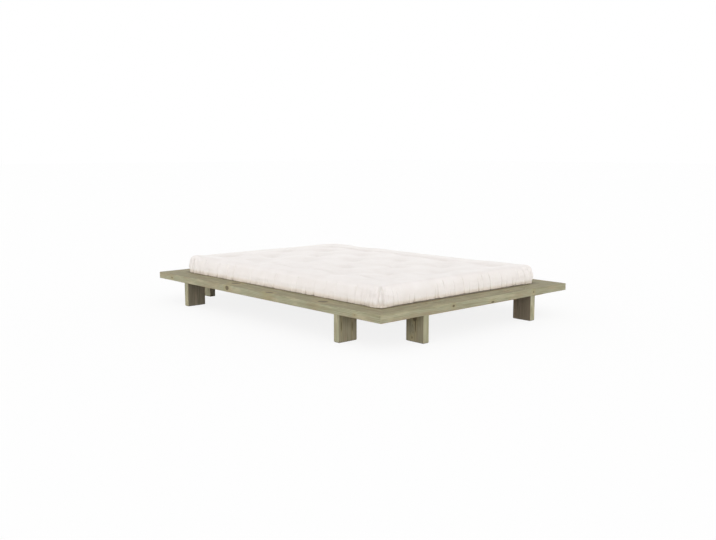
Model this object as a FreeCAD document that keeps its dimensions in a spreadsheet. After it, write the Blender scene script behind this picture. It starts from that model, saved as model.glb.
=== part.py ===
import FreeCAD, Part
import math
import os
import re
import Sketcher

# A low platform bed in solid pine. A wide mitred ledge stands on eight board legs and
# frames a slatted recess, in which a cotton futon lies.
# Origin on the floor under the middle of the bed: +X across it, +Y towards the head.

SIZES = {
    # whole bed
    "bed_width": 1700,
    "bed_length": 2300,
    "ledge_height": 205,
    # ledge boards, laid flat and mitred at the corners
    "rail_width": 150,
    "rail_thick": 45,
    "rail_round": 3,
    # board legs, square to their side and flush with its outer face
    "leg_board": 45,
    "leg_depth": 136,
    "leg_setback": 335,
    # the leg on the right near the foot stands closer to its corner
    "right_foot_setback": 270,
    "leg_round": 2,
    # felt pads under the legs
    "pad_thick": 3,
    "pad_inset": 3,
    # battens screwed up under the ledge boards, to carry the slats
    "batten_width": 75,
    "batten_thick": 30,
    "batten_lap": 45,
    # slats across the recess
    "slat_count": 14,
    "slat_width": 70,
    "slat_thick": 18,
    "slat_round": 2,
    "slat_end_gap": 30,
    "slat_side_gap": 3,
    # beam down the middle, tapered at its ends, its tongues and its post
    "beam_width": 45,
    "beam_height": 70,
    "taper_rise": 30,
    "taper_run": 100,
    "tongue_thick": 15,
    "tongue_length": 40,
    "post_size": 70,
    # webbing under the slats and its tacks
    "strap_width": 25,
    "strap_thick": 1.2,
    "strap_end_inset": 10,
    "strap_place_share": 0.25,
    "tack_diameter": 1.6,
    "tack_length": 10,
    "tack_head": 6,
    "tack_head_thick": 0.8,
    # plywood splines inside the mitres, measured along the boards
    "spline_near": 30,
    "spline_far": 120,
    "spline_reach": 15,
    "spline_thick": 6,
    # steel angle plates under the mitres
    "plate_inset": 30,
    "plate_arm": 100,
    "plate_width": 30,
    "plate_thick": 3,
    # dowels in the leg tops
    "dowel_diameter": 10,
    "dowel_length": 60,
    # steel brackets in the angle between a leg and its rail, just clear of the batten
    "bracket_flange": 25,
    "bracket_drop": 14,
    "bracket_width": 40,
    "bracket_thick": 2.5,
    "bracket_gap": 1,
    # wood screws with low round heads
    "screw_diameter": 4,
    "screw_head": 8,
    "screw_head_thick": 2.6,
    "batten_screw": 60,
    "slat_screw": 40,
    "tongue_screw": 25,
    "short_screw": 16,
    # play in joints and holes
    "fit_gap": 0.5,
    "hole_play": 0.1,
    "hole_relief": 1,
    # futon, soft: drawn in at the ledge and bellied out above it, most at its corners
    "futon_gap": 3,
    "futon_clear": 0.3,
    "futon_thick": 140,
    "futon_crown": 12,
    "futon_draw": 14,
    "futon_pinch": 6,
    "futon_pinch_rise": 3,
    "futon_belly": 10,
    "futon_side_draw": 5,
    "futon_top_round": 32,
    "futon_lean": 4,
    "futon_corner": 30,
    # upright face left between the rounds at each end of the futon
    "end_face_rise": 26,
    "end_face_fall": 40,
    # tufts in staggered rows
    "tuft_across": 250,
    "tuft_along": 200,
    "tuft_depth": 12,
}

# Places along a bay, an arm or a board, as shares of its length.
BAY_SCREW_SHARES = (0.2, 0.6)
PLATE_SCREW_SHARES = (0.45, 0.85)
LEG_DOWEL_SHARES = (0.33, 0.75)
POST_DOWEL_SHARES = (-0.25, 0.25)
BRACKET_HOLE_SHARES = (-0.25, 0.25)
BRACKET_REACH_SHARE = 0.56
# Stations of the futon's sections over its rounded end.
END_SHARES = (0, 0.07, 0.22, 0.46, 0.53, 0.64, 0.8, 1)
CROWN_FALL_SHARE = 0.8
# Heights within a low section, where the belly starts and the top round starts.
BELLY_FOOT_SHARE = 0.16
BELLY_HEAD_SHARE = 0.67
QUARTER_TURN_SHARE = 0.70711
# How nearly an edge must lie along an axis to be rounded with it.
ALIGNED_SHARE = 0.999

ALONG_X = FreeCAD.Vector(1, 0, 0)
ALONG_Y = FreeCAD.Vector(0, 1, 0)
ALONG_Z = FreeCAD.Vector(0, 0, 1)

# Levels and edges that several pieces share.
UNDERSIDE = "(ledge_height - rail_thick)"
BATTEN_EDGE = "(rail_width - batten_lap)"
BATTEN_FOOT = "(ledge_height - rail_thick - batten_thick)"
BRACKET_LINE = f"({BATTEN_EDGE} - bracket_gap - bracket_width / 2)"
RECESS_WIDTH = "(bed_width - 2 * rail_width)"
RECESS_LENGTH = "(bed_length - 2 * rail_width)"

# Each side of the bed has axes of its own: u along it, v inwards from its outer face.
SIDES = {
    "foot": (0, "bed_width", "{u}", "-bed_length / 2 + {v}"),
    "right": (90, "bed_length", "bed_width / 2 - {v}", "{u}"),
    "head": (180, "bed_width", "-{u}", "bed_length / 2 - {v}"),
    "left": (270, "bed_length", "-bed_width / 2 + {v}", "-{u}"),
}

doc = FreeCAD.newDocument("futon_bed")
sheet = doc.addObject("Spreadsheet::Sheet", "sizes")
for row, (alias, number) in enumerate(SIZES.items(), start=1):
    sheet.set(f"A{row}", alias)
    sheet.set(f"B{row}", str(number))
    sheet.setAlias(f"B{row}", alias)
doc.recompute()

nodes = []


def bound(text):
    """An expression whose size names are read from the sheet."""
    return re.sub(r"[a-z]\w*", r"sizes.\g<0>", text)


def value(text):
    """The number that an expression gives now."""
    return float(sheet.evalExpression(text))


def vector(*texts):
    return FreeCAD.Vector(*(value(text) for text in texts))


def side_place(side, u, v, w):
    """Expressions for a place given in a side's own axes."""
    angle, span, x, y = SIDES[side]
    return x.format(u=f"({u})", v=f"({v})"), y.format(u=f"({u})", v=f"({v})"), w


def settle(piece, angle, place):
    """Turns a piece about the vertical and ties its place to the sheet."""
    turn = FreeCAD.Rotation(ALONG_Z, angle)
    piece.Placement = FreeCAD.Placement(vector(*place), turn)
    for axis, text in zip("xyz", place):
        piece.setExpression(f"Placement.Base.{axis}", bound(text))


def new_body(name):
    body = doc.addObject("PartDesign::Body", name)
    body.Label = name
    nodes.append(body)
    return body


def new_sketch(body, role, lift):
    """A sketch on one of the body's own planes, lifted along its normal."""
    sketch = body.newObject("Sketcher::SketchObject", f"{body.Name}_sketch")
    plane = next(item for item in body.Origin.OriginFeatures if item.Role == role)
    sketch.AttachmentSupport = [(plane, "")]
    sketch.MapMode = "FlatFace"
    sketch.setExpression("AttachmentOffset.Base.z", bound(lift))
    return sketch


def pin(sketch, shape, point, place):
    """Ties a point of a sketch to its place."""
    for kind, text in zip(("DistanceX", "DistanceY"), place):
        index = sketch.addConstraint(Sketcher.Constraint(kind, -1, 1, shape, point, value(text)))
        sketch.setExpression(f"Constraints[{index}]", bound(text))


def draw(sketch, corners):
    """Adds a closed outline of straight lines."""
    first = sketch.GeometryCount
    count = len(corners)
    ends = [FreeCAD.Vector(value(x), value(y), 0) for x, y in corners]
    for index in range(count):
        sketch.addGeometry(Part.LineSegment(ends[index], ends[(index + 1) % count]))
    for index in range(count):
        following = first + (index + 1) % count
        sketch.addConstraint(Sketcher.Constraint("Coincident", first + index, 2, following, 1))
        pin(sketch, first + index, 1, corners[index])


def pad(body, role, corners, thickness):
    """A plate of the given outline."""
    sketch = new_sketch(body, role, "0")
    draw(sketch, corners)
    plate = body.newObject("PartDesign::Pad", f"{body.Name}_pad")
    plate.Profile = sketch
    plate.setExpression("Length", bound(thickness))
    doc.recompute()
    return plate


def pocket(body, sketch, depth, upwards):
    """Cuts a sketch into the body, along the sketch's normal or against it."""
    cut = body.newObject("PartDesign::Pocket", f"{body.Name}_pocket")
    cut.Profile = sketch
    cut.Reversed = upwards
    cut.setExpression("Length", bound(depth))
    doc.recompute()
    return cut


def drill(body, role, lift, centres, diameter, depth, upwards):
    """Cuts round holes of one size."""
    sketch = new_sketch(body, role, lift)
    bore = f"{diameter} + hole_play"
    for index, place in enumerate(centres):
        centre = FreeCAD.Vector(value(place[0]), value(place[1]), 0)
        sketch.addGeometry(Part.Circle(centre, ALONG_Z, value(bore) / 2))
        pin(sketch, index, 3, place)
        size = sketch.addConstraint(Sketcher.Constraint("Diameter", index, value(bore)))
        sketch.setExpression(f"Constraints[{size}]", bound(bore))
    return pocket(body, sketch, depth, upwards)


def soften(body, radius, axis, chosen=lambda middle: True):
    """Rounds the straight edges along an axis whose middles pass a test."""
    base = body.Tip
    names = []
    for index, edge in enumerate(base.Shape.Edges, start=1):
        if edge.Curve.TypeId == "Part::GeomLine":
            along = abs(edge.Curve.Direction.dot(axis)) > ALIGNED_SHARE
            if along and chosen(edge.CenterOfMass):
                names.append(f"Edge{index}")
    rounding = body.newObject("PartDesign::Fillet", f"{body.Name}_round")
    rounding.Base = (base, names)
    rounding.setExpression("Radius", bound(radius))
    doc.recompute()


def both(places):
    """Places and their mirror images across u = 0."""
    return places + [(f"-({u})", v) for u, v in places]


def leg_face(side, sign):
    """Distance from a side's middle to the inward face of one of its two legs."""
    setback = "leg_setback"
    if (side, sign) == ("right", -1):
        setback = "right_foot_setback"
    return f"({SIDES[side][1]} / 2 - {setback} - leg_board)"


def batten_half(side):
    """Half the length of a side's batten: long ones run through, short ones fit between."""
    if side in ("left", "right"):
        return f"(bed_length / 2 - {BATTEN_EDGE})"
    return f"(bed_width / 2 - {BATTEN_EDGE} - batten_width - fit_gap)"


def leg_dowel_places(side):
    places = []
    for sign in (-1, 1):
        middle = f"{sign} * ({leg_face(side, sign)} + leg_board / 2)"
        places += [(middle, f"{BATTEN_EDGE} * {share}") for share in LEG_DOWEL_SHARES]
    return places


def batten_screw_places(side):
    """One screw beyond each leg, and screws spread over the bay between the legs."""
    line = f"{BATTEN_EDGE} + batten_lap / 2"
    places = []
    for sign in (-1, 1):
        face = leg_face(side, sign)
        places.append((f"{sign} * ({face} + leg_board + {batten_half(side)}) / 2", line))
        places += [(f"{sign} * {face} * {share}", line) for share in BAY_SCREW_SHARES]
    return places


def bracket_hole_line(share):
    """Distance of a bracket's hole from the side's outer face."""
    return f"({BRACKET_LINE} + bracket_width * {share})"


def bracket_screw_places(side):
    places = []
    for sign in (-1, 1):
        reach = f"{sign} * ({leg_face(side, sign)} - bracket_flange * {BRACKET_REACH_SHARE})"
        places += [(reach, bracket_hole_line(share)) for share in BRACKET_HOLE_SHARES]
    return places


def plate_screw_places(side):
    """The screws of the corner plates that go into this side's rail."""
    half = f"{SIDES[side][1]} / 2"
    line = "plate_inset + plate_width / 2"
    reaches = [f"({half} - plate_inset - plate_arm * {share})" for share in PLATE_SCREW_SHARES]
    return both([(reach, line) for reach in reaches])


def spline_slots(side):
    """Outlines of the slots that a mitre's spline fits, one for each end of a rail."""
    half = f"{SIDES[side][1]} / 2"
    reach = "(spline_reach + fit_gap)"
    near = "(spline_near - fit_gap)"
    far = "(spline_far + fit_gap)"
    slot = [
        (f"{half} - {near} + {reach}", f"{near} + {reach}"),
        (f"{half} - {near} - {reach}", f"{near} - {reach}"),
        (f"{half} - {far} - {reach}", f"{far} - {reach}"),
        (f"{half} - {far} + {reach}", f"{far} + {reach}"),
    ]
    return slot, [(f"-({u})", v) for u, v in slot]


def make_rail(side):
    """One ledge board, mitred at both ends."""
    angle, span, _, _ = SIDES[side]
    body = new_body(f"rail_{side}")
    outer = [(f"-{span} / 2", "0"), (f"{span} / 2", "0")]
    inner = [(f"{span} / 2 - rail_width", "rail_width"), (f"-{span} / 2 + rail_width", "rail_width")]
    pad(body, "XY_Plane", outer + inner, "rail_thick")
    width = value("rail_width")
    thick = value("rail_thick")

    def seen(middle):
        return middle.y < width / 2 or middle.z > thick / 2

    soften(body, "rail_round", ALONG_X, seen)
    slots = new_sketch(body, "XY_Plane", "(rail_thick - spline_thick) / 2 - hole_play")
    for outline in spline_slots(side):
        draw(slots, outline)
    pocket(body, slots, "spline_thick + 2 * hole_play", True)
    dowel_depth = "dowel_length / 2 + hole_relief"
    drill(body, "XY_Plane", "0", leg_dowel_places(side), "dowel_diameter", dowel_depth, True)
    batten_depth = "batten_screw - batten_thick + hole_relief"
    drill(body, "XY_Plane", "0", batten_screw_places(side), "screw_diameter", batten_depth, True)
    short = plate_screw_places(side) + bracket_screw_places(side)
    drill(body, "XY_Plane", "0", short, "screw_diameter", "short_screw", True)
    settle(body, angle, side_place(side, "0", "0", UNDERSIDE))


def make_leg(side, index, sign):
    """One board leg, notched at the top for the batten that passes it."""
    body = new_body(f"leg_{side}_{index}")
    notch_edge = f"{BATTEN_EDGE} - fit_gap"
    notch_foot = f"{BATTEN_FOOT} - fit_gap"
    corners = [
        ("0", "pad_thick"),
        ("leg_depth", "pad_thick"),
        ("leg_depth", notch_foot),
        (notch_edge, notch_foot),
        (notch_edge, UNDERSIDE),
        ("0", UNDERSIDE),
    ]
    pad(body, "YZ_Plane", corners, "leg_board")
    notch = value(BATTEN_FOOT)
    soften(body, "leg_round", ALONG_Z, lambda middle: middle.z < notch)
    dowels = [("leg_board / 2", f"{BATTEN_EDGE} * {share}") for share in LEG_DOWEL_SHARES]
    dowel_depth = "dowel_length / 2 + hole_relief"
    drill(body, "XY_Plane", UNDERSIDE, dowels, "dowel_diameter", dowel_depth, False)
    line = f"{UNDERSIDE} - bracket_drop * {BRACKET_REACH_SHARE}"
    screws = [(bracket_hole_line(share), line) for share in BRACKET_HOLE_SHARES]
    inward = "0" if sign > 0 else "leg_board"
    drill(body, "YZ_Plane", inward, screws, "screw_diameter", "short_screw", sign > 0)
    near = leg_face(side, sign) if sign > 0 else f"-({leg_face(side, sign)} + leg_board)"
    settle(body, SIDES[side][0], side_place(side, near, "0", "0"))


def make_batten(side):
    """The strip under a rail that the slats or the beam rest on."""
    angle = SIDES[side][0]
    half = batten_half(side)
    body = new_body(f"batten_{side}")
    corners = [
        (f"-{half}", "0"),
        (half, "0"),
        (half, "batten_width"),
        (f"-{half}", "batten_width"),
    ]
    pad(body, "XY_Plane", corners, "batten_thick")
    places = [(u, "batten_lap / 2") for u, _ in batten_screw_places(side)]
    drill(body, "XY_Plane", "0", places, "screw_diameter", "batten_thick", True)
    if side in ("left", "right"):
        places = both([(slat_place("slat_count - 1"), slat_screw_line())])
        depth = "slat_screw - slat_thick + screw_head_thick + hole_relief"
        drill(body, "XY_Plane", "batten_thick", places, "screw_diameter", depth, False)
    else:
        housing = new_sketch(body, "XY_Plane", "batten_thick")
        wide = "beam_width / 2 + fit_gap"
        back = "batten_width - tongue_length - fit_gap"
        draw(housing, [
            (f"-({wide})", back),
            (wide, back),
            (wide, "batten_width"),
            (f"-({wide})", "batten_width"),
        ])
        pocket(body, housing, "tongue_thick", False)
        place = [("0", "batten_width - tongue_length / 2")]
        depth = "tongue_screw - tongue_thick"
        drill(body, "XY_Plane", "batten_thick - tongue_thick", place, "screw_diameter", depth, False)
    settle(body, angle, side_place(side, "0", BATTEN_EDGE, BATTEN_FOOT))


def slat_place(number):
    """Distance from the bed's middle to a slat's centre line, along the bed."""
    first = f"({RECESS_LENGTH} / 2 - slat_end_gap - slat_width / 2)"
    return f"(2 * ({number}) / (slat_count - 1) - 1) * {first}"


def slat_screw_line():
    """Distance of the end slats' screws from a long batten's outer edge."""
    return "(batten_lap + batten_width) / 2"


def strap_place(sign):
    return f"{sign} * {RECESS_WIDTH} * strap_place_share"


def make_slat(number):
    """One slat, tacked to both straps; the first and last are screwed down too."""
    body = new_body(f"slat_{number + 1:02d}")
    half = f"({RECESS_WIDTH} / 2 - slat_side_gap)"
    corners = [
        (f"-{half}", "-slat_width / 2"),
        (half, "-slat_width / 2"),
        (half, "slat_width / 2"),
        (f"-{half}", "slat_width / 2"),
    ]
    pad(body, "XY_Plane", corners, "slat_thick")
    soften(body, "slat_round", ALONG_X)
    tacks = [(strap_place(sign), "0") for sign in (-1, 1)]
    drill(body, "XY_Plane", "0", tacks, "tack_diameter", "tack_length", True)
    if number in (0, SIZES["slat_count"] - 1):
        reach = f"(bed_width / 2 - {BATTEN_EDGE} - {slat_screw_line()})"
        screws = [(f"-{reach}", "0"), (reach, "0")]
        drill(body, "XY_Plane", "slat_thick", screws, "screw_diameter", "slat_thick", False)
        drill(body, "XY_Plane", "slat_thick", screws, "screw_head", "screw_head_thick", False)
    settle(body, 0, ("0", slat_place(str(number)), UNDERSIDE))


def make_beam():
    """The beam under the slats, with a tongue at each end on the short battens."""
    body = new_body("centre_beam")
    end = f"(bed_length / 2 - {BATTEN_EDGE} - batten_width)"
    foot = f"({UNDERSIDE} - beam_height)"
    tongue = f"({UNDERSIDE} - tongue_thick)"
    shoulder = f"({end} - fit_gap)"
    tip = f"({end} + tongue_length)"
    taper = [(f"({shoulder} - taper_run)", foot), (shoulder, f"({foot} + taper_rise)")]
    half = taper + [(shoulder, tongue), (tip, tongue), (tip, UNDERSIDE)]
    corners = half + [(f"-{y}", z) for y, z in reversed(half)]
    pad(body, "YZ_Plane", corners, "beam_width")
    hold = f"({end} + tongue_length / 2)"
    screws = [("beam_width / 2", hold), ("beam_width / 2", f"-{hold}")]
    drill(body, "XY_Plane", UNDERSIDE, screws, "screw_diameter", "tongue_thick", False)
    dowels = [("beam_width / 2", f"post_size * {share}") for share in POST_DOWEL_SHARES]
    dowel_depth = "dowel_length / 2 + hole_relief"
    drill(body, "XY_Plane", foot, dowels, "dowel_diameter", dowel_depth, True)
    settle(body, 0, ("-beam_width / 2", "0", "0"))


def make_post():
    """The post under the middle of the beam."""
    body = new_body("centre_post")
    top = f"{UNDERSIDE} - beam_height"
    corners = [
        ("-post_size / 2", "-post_size / 2"),
        ("post_size / 2", "-post_size / 2"),
        ("post_size / 2", "post_size / 2"),
        ("-post_size / 2", "post_size / 2"),
    ]
    pad(body, "XY_Plane", corners, f"{top} - pad_thick")
    soften(body, "leg_round", ALONG_Z)
    dowels = [("0", f"post_size * {share}") for share in POST_DOWEL_SHARES]
    dowel_depth = "dowel_length / 2 + hole_relief"
    drill(body, "XY_Plane", f"{top} - pad_thick", dowels, "dowel_diameter", dowel_depth, False)
    settle(body, 0, ("0", "0", "pad_thick"))


def make_strap(name, sign):
    """Webbing that runs under all the slats."""
    body = new_body(name)
    half = f"({RECESS_LENGTH} / 2 - slat_end_gap - strap_end_inset)"
    corners = [
        ("-strap_width / 2", f"-{half}"),
        ("strap_width / 2", f"-{half}"),
        ("strap_width / 2", half),
        ("-strap_width / 2", half),
    ]
    pad(body, "XY_Plane", corners, "strap_thick")
    tacks = [("0", slat_place(str(number))) for number in range(SIZES["slat_count"])]
    drill(body, "XY_Plane", "0", tacks, "tack_diameter", "strap_thick", True)
    settle(body, 0, (strap_place(sign), "0", f"{UNDERSIDE} - strap_thick"))


def corner_place(side, u, v, w):
    """A place given from the outer corner at the far end of a side, u back along it."""
    return side_place(side, f"{SIDES[side][1]} / 2 - ({u})", v, w)


def make_spline(name, side):
    """The plywood spline inside one mitre."""
    body = new_body(name)
    corners = [
        ("-(spline_near - spline_reach)", "spline_near + spline_reach"),
        ("-(spline_near + spline_reach)", "spline_near - spline_reach"),
        ("-(spline_far + spline_reach)", "spline_far - spline_reach"),
        ("-(spline_far - spline_reach)", "spline_far + spline_reach"),
    ]
    pad(body, "XY_Plane", corners, "spline_thick")
    level = f"{UNDERSIDE} + (rail_thick - spline_thick) / 2"
    settle(body, SIDES[side][0], corner_place(side, "0", "0", level))


def make_plate(name, side):
    """The steel angle plate under one mitre."""
    body = new_body(name)
    near = "plate_inset"
    wide = "(plate_inset + plate_width)"
    far = "(plate_inset + plate_arm)"
    corners = [
        (f"-{near}", near),
        (f"-{near}", far),
        (f"-{wide}", far),
        (f"-{wide}", wide),
        (f"-{far}", wide),
        (f"-{far}", near),
    ]
    pad(body, "XY_Plane", corners, "plate_thick")
    line = "(plate_inset + plate_width / 2)"
    reaches = [f"(plate_inset + plate_arm * {share})" for share in PLATE_SCREW_SHARES]
    places = [(f"-{reach}", line) for reach in reaches] + [(f"-{line}", reach) for reach in reaches]
    drill(body, "XY_Plane", "0", places, "screw_diameter", "plate_thick", True)
    settle(body, SIDES[side][0], corner_place(side, "0", "0", f"{UNDERSIDE} - plate_thick"))


def add_group(name, solids):
    """One node that holds a set of like pieces."""
    group = doc.addObject("Part::Feature", name)
    group.Label = name
    group.Shape = Part.makeCompound(solids)
    group.Placement = FreeCAD.Placement()
    nodes.append(group)


def laid(shape, angle, place, tilt=0):
    """A copy of a shape, tilted about its own Y axis, turned and put in its place."""
    turn = FreeCAD.Rotation(ALONG_Z, angle)
    lean = FreeCAD.Rotation(ALONG_Y, tilt)
    copy = shape.copy()
    copy.Placement = FreeCAD.Placement(vector(*place), turn.multiply(lean))
    return copy


def screw(length, diameter="screw_diameter", head="screw_head", head_thick="screw_head_thick"):
    """A pointed screw or tack along +Z, with the underside of its head at the origin."""
    stem = value(diameter) / 2
    point = value(length) - 2 * value(diameter)
    rim = value(head) / 2
    crown = -value(head_thick)
    shoulder = crown * QUARTER_TURN_SHARE
    outline = [(0, crown), (rim * QUARTER_TURN_SHARE, crown), (rim, shoulder), (rim, 0)]
    outline += [(stem, 0), (stem, point), (0, value(length))]
    corners = [FreeCAD.Vector(x, 0, z) for x, z in outline]
    face = Part.Face(Part.makePolygon(corners + corners[:1]))
    return face.revolve(FreeCAD.Vector(), ALONG_Z, 360)


def bracket():
    """A steel angle along +Y, with a flange along -X under the rail and a drop down the leg."""
    flange = value("bracket_flange")
    drop = value("bracket_drop")
    thick = value("bracket_thick")
    wide = value("bracket_width")
    corner = FreeCAD.Vector(-flange, -wide / 2, -thick)
    under = Part.makeBox(flange, wide, thick, corner)
    upright = Part.makeBox(thick, wide, drop, FreeCAD.Vector(-thick, -wide / 2, -drop))
    steel = under.fuse(upright).removeSplitter()
    bore = (value("screw_diameter") + value("hole_play")) / 2
    reach = -flange * BRACKET_REACH_SHARE
    level = -drop * BRACKET_REACH_SHARE
    for share in BRACKET_HOLE_SHARES:
        across = wide * share
        down = Part.makeCylinder(bore, thick, FreeCAD.Vector(reach, across, -thick))
        through = Part.makeCylinder(bore, thick, FreeCAD.Vector(-thick, across, level), ALONG_X)
        steel = steel.cut(down).cut(through)
    return steel.Solids[0]


def make_fasteners():
    """Screws, tacks, dowels and brackets, each kind as one node."""
    short = screw("short_screw")
    long_screw = screw("batten_screw")
    steel = bracket()
    pin_shape = Part.makeCylinder(value("dowel_diameter") / 2, value("dowel_length"))
    dowels = []
    brackets = []
    bracket_screws = []
    plate_screws = []
    batten_screws = []
    for side, (angle, _, _, _) in SIDES.items():
        for u, v in leg_dowel_places(side):
            level = f"{UNDERSIDE} - dowel_length / 2"
            dowels.append(laid(pin_shape, angle, side_place(side, u, v, level)))
        for u, v in batten_screw_places(side):
            batten_screws.append(laid(long_screw, angle, side_place(side, u, v, BATTEN_FOOT)))
        for u, v in plate_screw_places(side):
            level = f"{UNDERSIDE} - plate_thick"
            plate_screws.append(laid(short, angle, side_place(side, u, v, level)))
        for u, v in bracket_screw_places(side):
            level = f"{UNDERSIDE} - bracket_thick"
            bracket_screws.append(laid(short, angle, side_place(side, u, v, level)))
        for sign, tilt in ((1, 90), (-1, -90)):
            face = f"{sign} * {leg_face(side, sign)}"
            turn = angle if sign > 0 else angle + 180
            brackets.append(laid(steel, turn, side_place(side, face, BRACKET_LINE, UNDERSIDE)))
            head = f"{sign} * ({leg_face(side, sign)} - bracket_thick)"
            level = f"{UNDERSIDE} - bracket_drop * {BRACKET_REACH_SHARE}"
            for share in BRACKET_HOLE_SHARES:
                place = side_place(side, head, bracket_hole_line(share), level)
                bracket_screws.append(laid(short, angle, place, tilt))
    for share in POST_DOWEL_SHARES:
        level = f"{UNDERSIDE} - beam_height - dowel_length / 2"
        dowels.append(laid(pin_shape, 0, ("0", f"post_size * {share}", level)))
    add_group("leg_dowels", dowels)
    add_group("leg_brackets", brackets)
    add_group("bracket_screws", bracket_screws)
    add_group("plate_screws", plate_screws)
    add_group("batten_screws", batten_screws)
    add_group("slat_screws", slat_screws())
    add_group("strap_tacks", strap_tacks())


def slat_screws():
    """Screws that hold the end slats and the beam's tongues, driven from above."""
    driven = screw("slat_screw")
    level = f"{UNDERSIDE} + slat_thick - screw_head_thick"
    reach = f"(bed_width / 2 - {BATTEN_EDGE} - {slat_screw_line()})"
    solids = []
    for number in ("0", "slat_count - 1"):
        for sign in (-1, 1):
            place = (f"{sign} * {reach}", slat_place(number), level)
            solids.append(laid(driven, 0, place, 180))
    tongue = f"(bed_length / 2 - {BATTEN_EDGE} - batten_width + tongue_length / 2)"
    for sign in (-1, 1):
        place = ("0", f"{sign} * {tongue}", UNDERSIDE)
        solids.append(laid(screw("tongue_screw"), 0, place, 180))
    return solids


def strap_tacks():
    tack = screw("tack_length", "tack_diameter", "tack_head", "tack_head_thick")
    level = f"{UNDERSIDE} - strap_thick"
    solids = []
    for number in range(SIZES["slat_count"]):
        for sign in (-1, 1):
            place = (strap_place(sign), slat_place(str(number)), level)
            solids.append(laid(tack, 0, place))
    return solids


def make_pads():
    """Felt under each leg and under the post."""
    inset = value("pad_inset")
    thick = value("pad_thick")
    length = value("leg_depth") - 2 * inset
    width = value("leg_board") - 2 * inset
    square = value("post_size") - 2 * inset
    leg_felt = Part.makeBox(width, length, thick, FreeCAD.Vector(-width / 2, inset, 0))
    post_felt = Part.makeBox(square, square, thick, FreeCAD.Vector(-square / 2, -square / 2, 0))
    solids = [post_felt]
    for side, (angle, _, _, _) in SIDES.items():
        for sign in (-1, 1):
            middle = f"{sign} * ({leg_face(side, sign)} + leg_board / 2)"
            solids.append(laid(leg_felt, angle, side_place(side, middle, "0", "0")))
    add_group("leg_pads", solids)


def futon_lower_edge(inset):
    """Height of the futon's lower edge, at an inset from the tip of its end."""
    foot = value(f"{UNDERSIDE} + slat_thick + futon_clear")
    pinch = value("ledge_height + futon_pinch_rise")
    reach = value("futon_belly + futon_gap + futon_pinch")
    if inset < reach:
        return pinch + value("end_face_rise") * (1 - inset / reach) ** 2
    share = min(1, (inset - reach) / value("futon_draw"))
    return pinch - (pinch - foot) * share ** 0.5


def futon_upper_edge(inset):
    """Height of the futon's upper edge, at an inset from the tip of its end."""
    top = value(f"{UNDERSIDE} + slat_thick + futon_clear + futon_thick")
    share = min(1, inset / value("futon_top_round + futon_lean"))
    return top - value("end_face_fall") * (1 - share) ** 2


def corner_inset(inset):
    """How far a plan corner rounds off the sides, at an inset from the tip of the end."""
    share = 1 - min(1, inset / value("futon_corner"))
    return value("futon_corner") * (1 - (1 - share ** 2) ** 0.5)


def tuft_dip(x, y, edge_x, edge_y):
    """Depth of the top's hollows: staggered tufts that fade out towards the edges."""
    across = value("tuft_across")
    along = value("tuft_along")
    wave = math.cos(math.pi * x / across) * math.cos(math.pi * y / along)
    fade_x = min(1, (edge_x - abs(x)) * 2 / across)
    fade_y = max(0, min(1, (edge_y - abs(y)) * 2 / along))
    return value("tuft_depth") * ((1 + wave) / 2) ** 2 * fade_x * fade_y


def futon_section(y, half_length, flat, columns):
    """A closed outline across the futon, for a place along it."""
    inset = half_length - abs(y)
    foot = futon_lower_edge(inset)
    top = futon_upper_edge(inset)
    rounding = corner_inset(inset)
    middle_share = 1 - (y / half_length) ** 2
    seat = value(f"{RECESS_WIDTH} / 2 - futon_gap - futon_pinch") - rounding
    belly = value(f"{RECESS_WIDTH} / 2 + futon_belly") - rounding
    belly -= value("futon_side_draw") * middle_share
    low = max(value("ledge_height + futon_pinch_rise"), foot + (top - foot) * BELLY_FOOT_SHARE)
    high = max(top - value("futon_top_round"), foot + (top - foot) * BELLY_HEAD_SHARE)
    shoulder = belly - value("futon_lean")
    brow = shoulder - (top - high)
    crown = value("futon_crown") * (1 - CROWN_FALL_SHARE * (y / half_length) ** 2)

    def at(x, z):
        return FreeCAD.Vector(x, y, z)

    def rounded(start, end, hub):
        """An arc from start to end that bulges away from the hub."""
        bulge = hub + (start - hub) * QUARTER_TURN_SHARE + (end - hub) * QUARTER_TURN_SHARE
        return Part.Arc(start, bulge, end).toShape()

    edges = [Part.makeLine(at(value("futon_draw") - seat, foot), at(seat - value("futon_draw"), foot))]
    edges.append(rounded(at(seat - value("futon_draw"), foot), at(seat, low), at(seat - value("futon_draw"), low)))
    edges.append(Part.Arc(at(seat, low), at(belly, (low + high) / 2), at(shoulder, high)).toShape())
    edges.append(rounded(at(shoulder, high), at(brow, top), at(brow, high)))
    ridge = [at(brow, top)]
    for column in range(columns, -columns - 1, -1):
        x = column * value("tuft_across") / 2
        rise = crown * (1 - (x / brow) ** 2)
        ridge.append(at(x, top + rise - tuft_dip(x, y, brow, flat)))
    ridge.append(at(-brow, top))
    edges += [Part.makeLine(start, end) for start, end in zip(ridge, ridge[1:])]
    edges.append(rounded(at(-brow, top), at(-shoulder, high), at(-brow, high)))
    edges.append(Part.Arc(at(-shoulder, high), at(-belly, (low + high) / 2), at(-seat, low)).toShape())
    edges.append(rounded(at(-seat, low), at(value("futon_draw") - seat, foot), at(value("futon_draw") - seat, low)))
    return Part.Wire(edges)


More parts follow.
